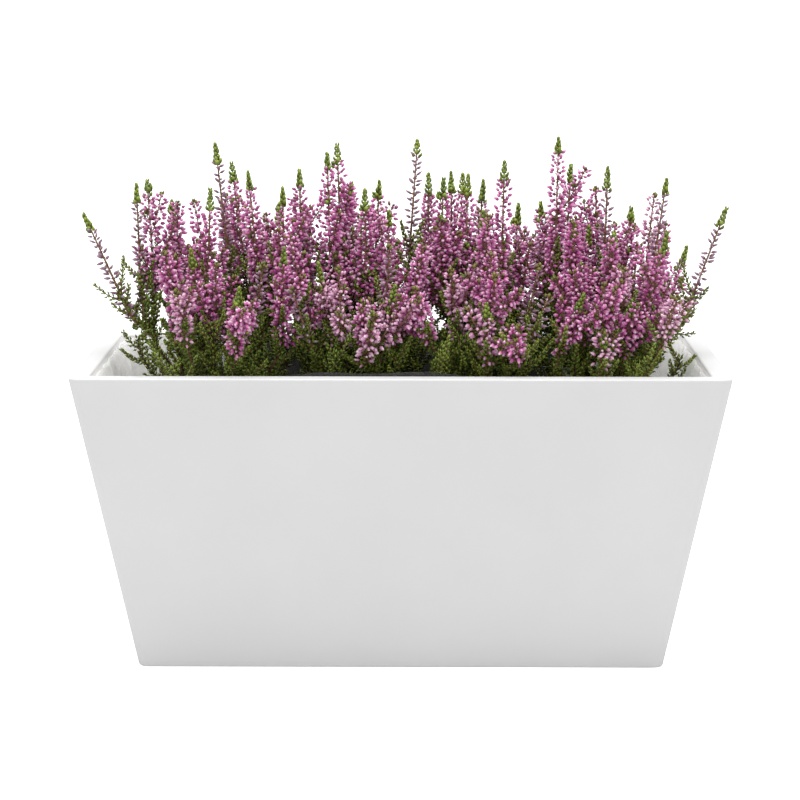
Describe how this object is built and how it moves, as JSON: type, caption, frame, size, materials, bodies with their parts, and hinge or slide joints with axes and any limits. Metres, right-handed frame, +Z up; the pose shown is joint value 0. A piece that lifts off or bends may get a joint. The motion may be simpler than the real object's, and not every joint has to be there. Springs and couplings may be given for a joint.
{
  "type": "potted heather",
  "caption": "Trough planter with a film liner and peat, filled with a row of heather plants that carry upright pink flower spikes.",
  "frame": {"origin": "middle of the planter's flat base, on the surface that it stands on", "axes": "+X along the planter's length, +Y towards its back, +Z up; the front faces -Y"},
  "size_m": [0.4061, 0.1796, 0.328],
  "materials": {
    "planter": "satin white, smooth",
    "film": "thin translucent film, crumpled, glossy",
    "soil": "loose moist peat, matt",
    "foliage": "green scale leaves on brown woody stems",
    "flowers": "pink-mauve buds, matt, with green leafy tips"
  },
  "bodies": {
    "root": {"planter": "planter", "film_liner": "film", "soil": "soil", "plant_1": "foliage", "plant_2": "foliage", "plant_3": "foliage", "plant_4": "foliage", "spike_01": "flowers", "spike_02": "flowers", "spike_03": "flowers", "spike_04": "flowers", "spike_05": "flowers", "spike_06": "flowers", "spike_07": "flowers", "spike_08": "flowers", "spike_09": "flowers", "spike_10": "flowers", "spike_11": "flowers", "spike_12": "flowers", "spike_13": "flowers", "spike_14": "flowers", "spike_15": "flowers", "spike_16": "flowers", "spike_17": "flowers", "spike_18": "flowers", "spike_19": "flowers", "spike_20": "flowers", "spike_21": "flowers", "spike_22": "flowers", "spike_23": "flowers", "spike_24": "flowers", "spike_25": "flowers", "spike_26": "flowers", "spike_27": "flowers", "spike_28": "flowers", "spike_29": "flowers", "spike_30": "flowers", "spike_31": "flowers", "spike_32": "flowers", "spike_33": "flowers", "spike_34": "flowers", "spike_35": "flowers", "spike_36": "flowers", "spike_37": "flowers", "spike_38": "flowers", "spike_39": "flowers", "spike_40": "flowers", "spike_41": "flowers", "spike_42": "flowers", "spike_43": "flowers", "spike_44": "flowers", "spike_45": "flowers", "spike_46": "flowers", "spike_47": "flowers", "spike_48": "flowers", "spike_49": "flowers", "spike_50": "flowers", "spike_51": "flowers", "spike_52": "flowers", "spike_53": "flowers"}
  },
  "joints": []
}
